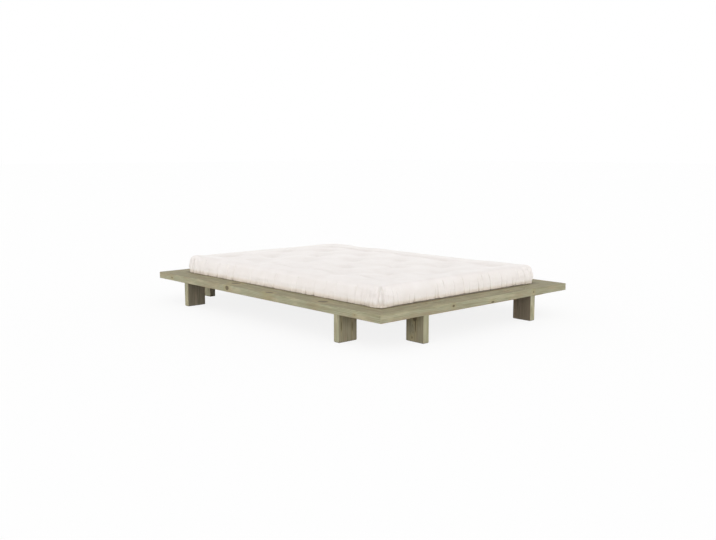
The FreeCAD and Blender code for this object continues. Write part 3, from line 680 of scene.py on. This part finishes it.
# Soft rises and falls of the whole top: across, along, height and radius; and the heights over
# the ledge between which a side turns into the top and takes part in them.
LIFTS = (
    (-0.69, 0.985, 0.011, 0.055),
    (0.70, -0.99, 0.013, 0.050),
    (0.66, -0.76, 0.005, 0.20),
    (-0.51, -0.81, 0.009, 0.09),
    (0.70, 0.98, -0.006, 0.10),
    (0.66, 0.62, -0.005, 0.13),
    (0.22, 0.95, -0.003, 0.35),
)
TURN_FROM = 0.03
TURN_HEIGHT = 0.05


def futon_points(mesh):
    """The mesh's points, as rows of x, y and z."""
    points = np.empty(len(mesh.vertices) * 3)
    mesh.vertices.foreach_get("co", points)
    return points.reshape(-1, 3)


def set_points(mesh, points):
    """Moves the mesh's points."""
    mesh.vertices.foreach_set("co", points.ravel())
    mesh.update()


def futon_normals(mesh):
    """The way out of the mesh at each of its points."""
    normals = np.empty(len(mesh.vertices) * 3)
    mesh.vertices.foreach_get("normal", normals)
    return normals.reshape(-1, 3)


def tuft_places():
    """Where the tufts are sewn: staggered rows, each a little off its mark."""
    draw = random.Random(TUFT_SEED)
    places = []
    for row in range(-TUFT_ROWS, TUFT_ROWS + 1):
        for column in range(-TUFT_COLUMNS, TUFT_COLUMNS + 1):
            if (row + column) % 2 == 0:
                x = column * TUFT_ACROSS + draw.uniform(-TUFT_STRAY, TUFT_STRAY)
                y = row * TUFT_ALONG + draw.uniform(-TUFT_STRAY, TUFT_STRAY)
                strength = draw.uniform(*TUFT_STRENGTHS)
                if abs(row) == TUFT_ROWS or abs(column) == TUFT_COLUMNS:
                    strength *= OUTER_TUFTS
                places.append((x, y, strength))
    return places


def swell_futon(piece, pinned):
    """Lets the cover swell under the batting's push, held where it lies and is tufted."""
    group = piece.vertex_groups.new(name="held")
    group.add([int(index) for index in np.flatnonzero(pinned)], 1, "REPLACE")
    before = futon_points(piece.data)
    cloth = piece.modifiers.new("Cloth", "CLOTH")
    cloth.settings.quality = 5
    cloth.settings.mass = 0.25
    cloth.settings.tension_stiffness = 15
    cloth.settings.compression_stiffness = 15
    cloth.settings.shear_stiffness = 8
    cloth.settings.bending_stiffness = 0.5
    cloth.settings.use_pressure = True
    cloth.settings.uniform_pressure_force = 4
    cloth.settings.vertex_group_mass = group.name
    cloth.settings.effector_weights.gravity = 0
    cloth.collision_settings.use_collision = False
    cloth.point_cache.frame_end = FUTON_FRAMES
    for number in range(1, FUTON_FRAMES + 1):
        bpy.context.scene.frame_set(number)
    bpy.ops.object.modifier_apply(modifier=cloth.name)
    after = futon_points(piece.data)
    moved = after - before
    reach = np.linalg.norm(moved, axis=1, keepdims=True)
    moved *= np.minimum(1, FUTON_RISE_CAP / np.maximum(reach, 1e-9))
    set_points(piece.data, before + moved)


def split_sides(piece, ledge):
    """Splits the steep faces into low rows beside the ledge, then all into narrow strips."""
    fine = bmesh.new()
    fine.from_mesh(piece.data)
    for upright, cuts, top in SIDE_CUTS:
        cut = set()
        for face in fine.faces:
            height = face.calc_center_median().z - ledge
            if abs(face.normal.z) < STEEP_SHARE and SIDE_CUTS_FROM < height < top:
                for edge in face.edges:
                    along = edge.verts[1].co - edge.verts[0].co
                    if (abs(along.z) > UPRIGHT_SHARE * along.length) == upright:
                        cut.add(edge)
        bmesh.ops.subdivide_edges(fine, edges=list(cut), cuts=cuts, use_grid_fill=False)
    fine.to_mesh(piece.data)
    fine.free()


def ease(values, low, high):
    """Smooth step from 0 at low to 1 at high."""
    share = np.clip((values - low) / (high - low), 0, 1)
    return share * share * (3 - 2 * share)


def half_size(points):
    """Half the futon's width and half its length."""
    return np.abs(points[:, :2]).max(axis=0)


def side_frame(points):
    """For each point: the way out of the nearest side, and how far inside the outline it is."""
    core = half_size(points) - FUTON_CORNER
    flat = points[:, :2]
    out = flat - np.clip(flat, -core, core)
    reach = np.linalg.norm(out, axis=1)
    room = core - np.abs(flat)
    inner = reach < 1e-6
    across = room[:, 0] < room[:, 1]
    out[inner & across] = (1, 0)
    out[inner & ~across] = (0, 1)
    out[inner] *= np.where(flat[inner] < 0, -1, 1)
    depth = np.where(inner, FUTON_CORNER + np.minimum(room[:, 0], room[:, 1]), FUTON_CORNER - reach)
    out /= np.linalg.norm(out, axis=1, keepdims=True)
    return out, depth


def corner_distance(points):
    """How far each point is from the nearest corner of the outline's box, in plan."""
    return np.linalg.norm(half_size(points) - np.abs(points[:, :2]), axis=1)


def side_blend(out, between, corner, sides):
    """A measure that has its own value on each side and another at the corners."""
    blend = corner * (1 - between)
    for side, way in WAYS.items():
        blend += sides[side] * between * np.clip(out @ np.array(way), 0, 1) ** 2
    return blend


def side_hollow(points, out):
    """How far each side is drawn in, most at its middle."""
    hollow = SIDE_HOLLOW * (1 - (points[:, :2] / half_size(points)) ** 2)
    return np.where(np.abs(out[:, 0]) > np.abs(out[:, 1]), hollow[:, 1], hollow[:, 0])


def lip_push(height, taller, depth, between):
    """How far the cover hangs out over the ledge, less the slot under it."""
    lip = ease(height, *LIP_START) * (1 - ease(taller, *LIP_END)) * np.clip(depth, 0, None)
    lip *= 1 - LIP_THINNING * between * (1 - ease(height, *THINNING_END))
    slot = SLOT_DEPTH * ease(height, *SLOT_START) * (1 - ease(height, *SLOT_END))
    return np.where(depth < LIP_REACH, lip - slot, 0)


def shape_edges(piece, ledge):
    """Shapes the sides from the ledge up, lays their lip down, and makes the top uneven."""
    points = futon_points(piece.data)
    out, depth = side_frame(points)
    near = np.clip(1 - depth / EDGE_REACH, 0, 1)
    between = 1 - np.exp(-(corner_distance(points) / CORNER_REACH) ** 2)
    height = points[:, 2] - ledge
    taller = height - CORNER_TALLER * (1 - between)
    inward = side_hollow(points, out) * ease(height, *HOLLOW_RISE)
    spread = side_blend(out, between, CORNER_SPREAD, SPREAD)
    inward -= spread * ease(height, *SPREAD_START) * (1 - ease(taller, *SPREAD_END))
    settle = side_blend(out, between, CORNER_SETTLE, SETTLE)
    let_down = height - settle * (1 - ease(height, *SETTLE_END))
    turned = np.clip((height - TURN_FROM) / TURN_HEIGHT, 0, 1)
    fall = FALL_DEPTH * np.clip(1 - depth / FALL_REACH, 0, 1) ** 2

    points[:, 2] -= fall * turned * (FALL_LEAST + (1 - FALL_LEAST) * between)
    points[:, :2] += out * lip_push(height, taller, depth, between)[:, None]
    lip = (depth < LIP_REACH) & (height > 0)
    points[lip, 2] = ledge + np.clip(let_down[lip], LEDGE_GAP, None)
    for x, y, push, radius in SWELLINGS:
        apart = np.hypot(points[:, 0] - x, points[:, 1] - y)
        inward -= push * np.exp(-(apart / radius) ** 2) * ease(height, *SWELLING_START)
    points[:, :2] -= out * (inward * near)[:, None]
    for x, y, rise, radius in LIFTS:
        apart = np.hypot(points[:, 0] - x, points[:, 1] - y)
        points[:, 2] += rise * np.exp(-(apart / radius) ** 2) * turned
    set_points(piece.data, points)


# Pleats that stand out: place along the side, and depth at the ledge and at PLEAT_TOP over it.
PLEATS = {
    "left": (
        (0.937, 0.0180, 0.0120), (0.893, 0.0110, 0.0090), (0.845, 0.0110, 0),
        (0.805, 0.0050, 0.0080), (0.742, 0.0115, -0.006), (0.629, 0.0110, 0.0050),
        (0.568, 0.0070, 0), (0.520, 0.0070, 0.0080),
        (0.445, 0.0090, 0.0050), (0.251, 0.0080, 0.0020), (0.173, 0.0055, -0.002),
        (0.085, 0.0080, -0.002), (0.060, 0.0060, -0.002), (-0.010, 0.0080, 0.0030),
        (-0.075, 0.0060, -0.002), (-0.187, 0.0040, 0), (-0.236, 0.0055, 0.0040),
        (-0.290, 0.0050, -0.002), (-0.334, 0.0075, -0.008), (-0.411, 0.0095, 0.0010),
        (-0.508, 0.0030, 0.0040), (-0.551, 0.0050, -0.004), (-0.603, 0.0030, 0.0040),
        (-0.658, 0.0040, -0.002), (-0.720, 0.0110, -0.008), (-0.782, 0.0030, 0.0080),
        (-0.835, 0.0060, 0.0040), (-0.865, 0.0065, 0.0030), (-0.889, 0.0055, 0.0030),
        (-0.914, 0.0090, 0), (-0.945, 0.0075, 0.0060),
    ),
    "foot": (
        (-0.649, 0.0045, 0.0040), (-0.601, 0.0090, 0.0040), (-0.570, 0.0070, 0.0030),
        (-0.477, 0.0070, -0.002), (-0.431, 0.0130, -0.004), (-0.335, 0.0060, -0.003),
        (-0.253, 0.0130, 0), (-0.227, 0.0140, 0.0040), (-0.168, 0.0020, 0.0090),
        (-0.120, 0.0060, -0.002), (-0.080, 0.0060, 0.0030), (0.007, 0.0080, 0.0090),
        (0.054, 0.0050, 0.0010), (0.142, 0.0160, 0.0020), (0.186, 0.0010, 0.0090),
        (0.255, 0.0110, 0.0080), (0.366, 0.0055, 0.0030), (0.417, 0.0045, 0),
        (0.479, 0.0120, -0.003), (0.510, 0.0050, 0), (0.541, 0.0010, 0.0070),
        (0.573, 0.0040, 0), (0.605, 0.0110, 0.0090), (0.650, 0.0020, 0.0080),
    ),
}
# A pleat's width, which grows along the bed, how sharp it is, how far it leans, how much deeper
# it is pressed than drawn, and between which heights over the ledge it runs out.
PLEAT_TOP = 0.085
PLEAT_WIDTH = 0.0046
PLEAT_WIDENING = 0.0014
PLEAT_SHARPNESS = 1.7
PLEAT_LEAN = 0.05
PLEAT_LEAN_TURN = 37
PLEAT_SCALE = 1.15
PLEAT_END = 0.115
PLEAT_FADE = 0.03
# It belongs to its own side: the share that faces that way, times and less these.
PLEAT_FACING = (2, 0.8)
# The two sides out of sight are pleated as closely, at drawn places.
DRAWN_PLEATS = {"right": (0.97, 30), "head": (0.67, 22)}
DRAWN_STRAY = (0.1, 0.9)
DRAWN_FOOT = (0.002, 0.012)
DRAWN_TOP = (-0.006, 0.008)
DRAWN_SEED = 5
# Two soft folds down the near corner, where its cover is tucked: place in plan, width, depth;
# how far round they reach, how much of them is there at the ledge, and where they start and end.
CORNER_FOLDS = (((-0.704, -0.984), 0.008, 0.014), ((-0.685, -1.001), 0.008, 0.014))
CORNER_FOLD_REACH = 0.06
CORNER_FOLD_LEAST = 0.3
CORNER_FOLD_START = (0, 0.02)
CORNER_FOLD_END = (0.105, 0.140)
# Small gathers: two sizes, their spacing in metres, depth and how high they reach; how long
# one is, how wide as a share of the spacing, and how far apart the sizes' layers of noise are.
GATHERS = ((0.030, 0.0042, 0.020), (0.013, 0.0028, 0.022))
GATHER_LENGTH = 0.11
GATHER_WIDTH_SHARE = 0.22
GATHER_LAYERS = 500
# Round a corner they are weaker, reach up to this height and fade below it over the second.
CORNER_GATHERS_REACH = 0.13
CORNER_GATHERS_SHARE = 0.6
CORNER_GATHERS_TOP = 0.105
CORNER_GATHERS_FADE = 0.05
# The stretch of cover that takes them: how far inside the outline, and from what height.
PLEATED_DEPTH = 0.04
PLEATED_FROM = -0.02


def side_pleats():
    """Every pleat as side, place, depth at the ledge and depth at the top."""
    draw = random.Random(DRAWN_SEED)
    pleats = [(side, *pleat) for side, row in PLEATS.items() for pleat in row]
    for side, (reach, count) in DRAWN_PLEATS.items():
        for number in range(count):
            place = reach * (2 * (number + draw.uniform(*DRAWN_STRAY)) / count - 1)
            pleats.append((side, place, draw.uniform(*DRAWN_FOOT), draw.uniform(*DRAWN_TOP)))
    return pleats


def small_gathers(outline, above, at_corner):
    """How deep the small gathers press in, each running up the side from the ledge."""
    push = np.zeros(len(above))
    level = np.clip((CORNER_GATHERS_TOP - above) / CORNER_GATHERS_FADE, 0, 1)
    for gap, deep, reach in GATHERS:
        # noise in plan, drawn out upwards; each size reads another layer of it
        layer = gap * GATHER_LAYERS
        crease = np.array([abs(noise.noise((x / gap, y / gap, h / GATHER_LENGTH + layer)))
                           for (x, y), h in zip(outline, above)])
        fold = np.clip(1 - crease / GATHER_WIDTH_SHARE, 0, 1)
        fade = np.exp(-above / reach) * (1 - at_corner)
        push += deep * fold * (fade + CORNER_GATHERS_SHARE * level * at_corner)
    return push


def drawn_in_pleats(spot, way, above, half_length):
    """How deep the pleats of all four sides press in."""
    push = np.zeros(len(above))
    fade = PLEAT_SCALE * np.clip((PLEAT_END - above) / PLEAT_FADE, 0, 1)
    width = PLEAT_WIDTH + PLEAT_WIDENING * (spot[:, 1] + half_length)
    for side, place, foot, top in side_pleats():
        along = 0 if side in ("foot", "head") else 1
        facing = np.clip(way @ np.array(WAYS[side]) * PLEAT_FACING[0] - PLEAT_FACING[1], 0, 1)
        lean = math.sin(place * PLEAT_LEAN_TURN) * PLEAT_LEAN
        off = (spot[:, along] - place - lean * (above - PLEAT_TOP / 2)) / width
        deep = np.clip(foot + (top - foot) * above / PLEAT_TOP, 0, 1)
        push += deep * facing * fade * np.exp(-np.abs(off) ** PLEAT_SHARPNESS)
    return push


def corner_folds(spot, way, above):
    """How deep the near corner's two folds press in."""
    push = np.zeros(len(above))
    fade = CORNER_FOLD_LEAST + (1 - CORNER_FOLD_LEAST) * ease(above, *CORNER_FOLD_START)
    fade *= 1 - ease(above, *CORNER_FOLD_END)
    for place, width, deep in CORNER_FOLDS:
        away = spot[:, :2] - place
        sideways = away[:, 0] * way[:, 1] - away[:, 1] * way[:, 0]
        near = np.linalg.norm(away, axis=1) < CORNER_FOLD_REACH
        push += deep * fade * near * np.exp(-(sideways / width) ** 2)
    return push


def gather_sides(piece, ledge):
    """Presses upright pleats into the sides, deepest near the ledge and round the corners."""
    points = futon_points(piece.data)
    out, depth = side_frame(points)
    height = points[:, 2] - ledge
    chosen = np.flatnonzero((depth < PLEATED_DEPTH) & (height > PLEATED_FROM))
    spot = points[chosen]
    way = out[chosen]
    above = np.clip(height[chosen], 0, None)
    outline = spot[:, :2] + way * depth[chosen, None]
    at_corner = np.exp(-(corner_distance(points)[chosen] / CORNER_GATHERS_REACH) ** 2)
    push = small_gathers(outline, above, at_corner)
    push += drawn_in_pleats(spot, way, above, half_size(points)[1])
    push += corner_folds(spot, way, above)
    points[chosen, :2] -= way * push[:, None]
    set_points(piece.data, points)


def smooth_shoulders(piece, ledge):
    """Evens out the crown's shoulders, which the batting rounds over."""
    points = futon_points(piece.data)
    inside = side_frame(points)[1]
    weights = ease(inside, *SHOULDER_RANGE) * (points[:, 2] > ledge + CROWN_FROM)
    group = piece.vertex_groups.new(name="crown")
    for index in np.flatnonzero(weights):
        group.add([int(index)], float(weights[index]), "REPLACE")
    soft = piece.modifiers.new("Smooth", "SMOOTH")
    soft.factor = SHOULDER_SHARE
    soft.iterations = SHOULDER_PASSES
    soft.vertex_group = group.name
    bpy.ops.object.modifier_apply(modifier=soft.name)


def pucker_top(piece, ledge):
    """Draws folds out from the tufts and creases the cover softly all over its top."""
    points = futon_points(piece.data)
    inside = side_frame(points)[1]
    share = ease(inside, *PUCKER_RANGE) * (points[:, 2] > ledge + CROWN_FROM)
    draw = random.Random(PUCKER_SEED)
    rise = np.zeros(len(points))
    for x, y, strength in tuft_places():
        away = points[:, :2] - (x, y)
        apart = np.linalg.norm(away, axis=1) / PUCKER_REACH
        turn = np.arctan2(away[:, 1], away[:, 0])
        folds = np.sin(PUCKER_FOLDS * turn + draw.uniform(0, math.tau))
        folds += PUCKER_SECOND_SHARE * np.sin((PUCKER_FOLDS - 2) * turn + draw.uniform(0, math.tau))
        rise += strength * PUCKER_HEIGHT * folds * apart * np.exp(1 - apart)
    for index in np.flatnonzero(share):
        x, y = points[index, :2] / CREASE_GAP
        rise[index] += CREASE_HEIGHT * noise.noise((x, y, CREASE_LAYER))
    points[:, 2] += rise * share
    set_points(piece.data, points)


def futon_skin():
    """The CAD solid's skin as one closed, even mesh, selected and active."""
    piece = bpy.data.objects.new("futon_mattress", nodes["futon"].data.copy())
    bpy.context.scene.collection.objects.link(piece)
    welded = bmesh.new()
    welded.from_mesh(piece.data)
    bmesh.ops.remove_doubles(welded, verts=welded.verts, dist=1e-5)
    bmesh.ops.recalc_face_normals(welded, faces=welded.faces)
    welded.to_mesh(piece.data)
    welded.free()
    bpy.ops.object.select_all(action="DESELECT")
    piece.select_set(True)
    bpy.context.view_layer.objects.active = piece
    piece.data.remesh_voxel_size = FUTON_MESH
    bpy.ops.object.voxel_remesh()
    return piece


def sew_tufts(piece, ledge):
    """Takes the slack out of the cover, dimples it at the tufts, and tells which points hold."""
    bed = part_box("futon")[0].z
    points = futon_points(piece.data)
    normals = futon_normals(piece.data)
    lying = (points[:, 2] < bed + BASE_REACH) & (normals[:, 2] < BASE_FACING)
    points[~lying] -= FUTON_SLACK * normals[~lying]
    points[lying, 2] = bed
    held = points[:, 2] < ledge + HELD_TOP
    crown = points[:, 2] > ledge + CROWN_FROM
    for x, y, strength in tuft_places():
        apart = np.hypot(points[:, 0] - x, points[:, 1] - y)
        dimple = TUFT_DIMPLE * strength * np.exp(-(apart / TUFT_RADIUS) ** 2)
        points[crown, 2] -= dimple[crown]
        held |= crown & (apart < TUFT_SEWN)
    set_points(piece.data, points)
    return held


def make_futon():
    """The futon, from the CAD solid's skin: tufted, swollen, subdivided and gathered."""
    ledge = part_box("rail_left")[1].z
    piece = futon_skin()
    smooth_shoulders(piece, ledge)
    held = sew_tufts(piece, ledge)
    swell_futon(piece, held)
    fine = piece.modifiers.new("Subdivision", "SUBSURF")
    fine.levels = 1
    fine.render_levels = 1
    bpy.ops.object.modifier_apply(modifier=fine.name)
    split_sides(piece, ledge)
    shape_edges(piece, ledge)
    gather_sides(piece, ledge)
    pucker_top(piece, ledge)
    for polygon in piece.data.polygons:
        polygon.use_smooth = True
    piece.data.materials.clear()
    piece.data.materials.append(cotton_drill(ledge))
    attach(piece, "futon")
    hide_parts("futon")


# Cotton: twill ribs 1.6 mm apart, coarser than real ones so that they show, with a share of the
# slubs' relief, and noise in cells to the metre, for 110 mm clouds of tone and 6 mm slubs.
# Painted shade: low on its sides, by the stained boards, the cover is painted deeper and warmer in
# tone, fading over these heights above them.
TWILL_GAP = 0.0016
TWILL_RELIEF = 0.25
TONE_CELLS = 9
SLUB_CELLS = 160
LOW_SIDE_PAINTED_SHADE = "#EDE7DC"
LOW_SIDE_SHADE_SHARE = 0.95
LOW_SIDE_SHADE_RANGE = (0.034, 0.008)


def cotton_drill(ledge):
    """Unbleached cotton drill: soft off-white and matt, with a fine twill and small slubs, and
    painted shade low on its sides.
    """
    material, tree = new_material("natural_cotton_drill")
    place = add_node(tree, "TexCoord", {}, {}).outputs["Object"]
    parts = add_node(tree, "SeparateXYZ", {}, {0: place}).outputs
    total = math_node(tree, "ADD", parts["X"], parts["Y"])
    total = math_node(tree, "ADD", total, parts["Z"])
    yarn = math_node(tree, "MULTIPLY", total, 2 * math.pi / TWILL_GAP)
    twill = math_node(tree, "SINE", yarn)
    cloud = add_node(tree, "TexNoise", {}, {
        "Vector": place, "Scale": TONE_CELLS, "Detail": 4, "Roughness": 0.55}).outputs["Fac"]
    tone = add_node(tree, "ValToRGB", {}, {"Fac": cloud})
    paint_ramp(tone, ((0.3, "#EAE4E0"), (0.7, "#EFEAE7")))
    # Painted shade low on the sides, by the ledge.
    low_side_shade = fade_node(tree, parts["Z"], [ledge + height for height in LOW_SIDE_SHADE_RANGE], LOW_SIDE_SHADE_SHARE)
    cloth = mix_node(tree, low_side_shade, tone.outputs["Color"], LOW_SIDE_PAINTED_SHADE, "MULTIPLY")
    slub = add_node(tree, "TexNoise", {}, {
        "Vector": place, "Scale": SLUB_CELLS, "Detail": 3, "Roughness": 0.7}).outputs["Fac"]
    relief = math_node(tree, "MULTIPLY_ADD", twill, TWILL_RELIEF, slub)
    bump = bump_node(tree, relief, strength=0.3, distance=0.0006)
    close_material(tree, {
        "Base Color": cloth,
        "Roughness": 0.9,
        "Sheen Weight": 0.22,
        "Normal": bump,
        "Specular IOR Level": 0.2,
    })
    return material


def seen_by_viewer(tree):
    """Whether a ray is one that the viewer sees, straight or in a gloss or through glass."""
    ray = add_node(tree, "LightPath", {}, {}).outputs
    seen = math_node(tree, "MAXIMUM", ray["Is Camera Ray"], ray["Is Glossy Ray"])
    return math_node(tree, "MAXIMUM", seen, ray["Is Transmission Ray"])


def make_floor():
    """A wide pale floor that runs to the horizon and keeps the bed's shadow."""
    bpy.ops.object.select_all(action="DESELECT")
    bpy.ops.mesh.primitive_plane_add(size=2 * FLOOR_REACH, location=(0, 0, 0))
    floor = bpy.context.object
    floor.name = "floor"
    material, tree = new_material("pale_studio_floor")
    lit = add_node(tree, "BsdfDiffuse", {}, {"Color": WHITE}).outputs[0]
    bright = add_node(tree, "Emission", {}, {"Color": WHITE, "Strength": 1}).outputs[0]
    pale = add_node(tree, "MixShader", {}, {0: FLOOR_SHADOW_SHARE, 1: bright, 2: lit}).outputs[0]
    plain = add_node(tree, "BsdfDiffuse", {}, {
        "Color": (FLOOR_BOUNCE, FLOOR_BOUNCE, FLOOR_BOUNCE, 1)}).outputs[0]
    both = add_node(tree, "MixShader", {}, {
        0: seen_by_viewer(tree), 1: plain, 2: pale}).outputs[0]
    add_node(tree, "OutputMaterial", {}, {"Surface": both})
    floor.data.materials.append(material)


def make_light():
    """A white surround and one broad soft lamp."""
    world = bpy.data.worlds.new("studio")
    world.use_nodes = True
    bpy.context.scene.world = world
    tree = world.node_tree
    tree.nodes.clear()
    way = add_node(tree, "TexCoord", {}, {}).outputs["Generated"]
    height = add_node(tree, "SeparateXYZ", {}, {0: way}).outputs["Z"]
    light = add_node(tree, "MapRange", {}, {
        "Value": height, "From Max": HORIZON_TOP_SHARE,
        "To Min": HORIZON_STRENGTH, "To Max": SKY_STRENGTH}).outputs["Result"]
    strength = add_node(tree, "Mix", {"data_type": "FLOAT"}, {
        0: seen_by_viewer(tree), 2: light, 3: 1}).outputs[0]
    sky = add_node(tree, "Background", {}, {"Color": WHITE, "Strength": strength}).outputs[0]
    add_node(tree, "OutputWorld", {}, {"Surface": sky})
    lamp = bpy.data.lights.new("lamp", "SUN")
    lamp.energy = LAMP_STRENGTH
    lamp.angle = LAMP_SPREAD
    stand = bpy.data.objects.new("lamp", lamp)
    bpy.context.scene.collection.objects.link(stand)
    stand.rotation_euler = (math.pi / 2 - LAMP_HEIGHT, 0, -LAMP_HEADING)


def make_camera():
    """The photograph's viewpoint."""
    lens = bpy.data.cameras.new("camera")
    lens.lens = CAMERA_LENS
    lens.sensor_width = CAMERA_SENSOR
    camera = bpy.data.objects.new("camera", lens)
    bpy.context.scene.collection.objects.link(camera)
    camera.location = CAMERA_PLACE
    camera.rotation_euler = (math.pi / 2 - CAMERA_DIP, 0, -CAMERA_HEADING)
    bpy.context.scene.camera = camera


dress_boards()
dress_fittings()
make_futon()
make_floor()
make_light()
make_camera()
bpy.context.scene.view_settings.view_transform = "Standard"
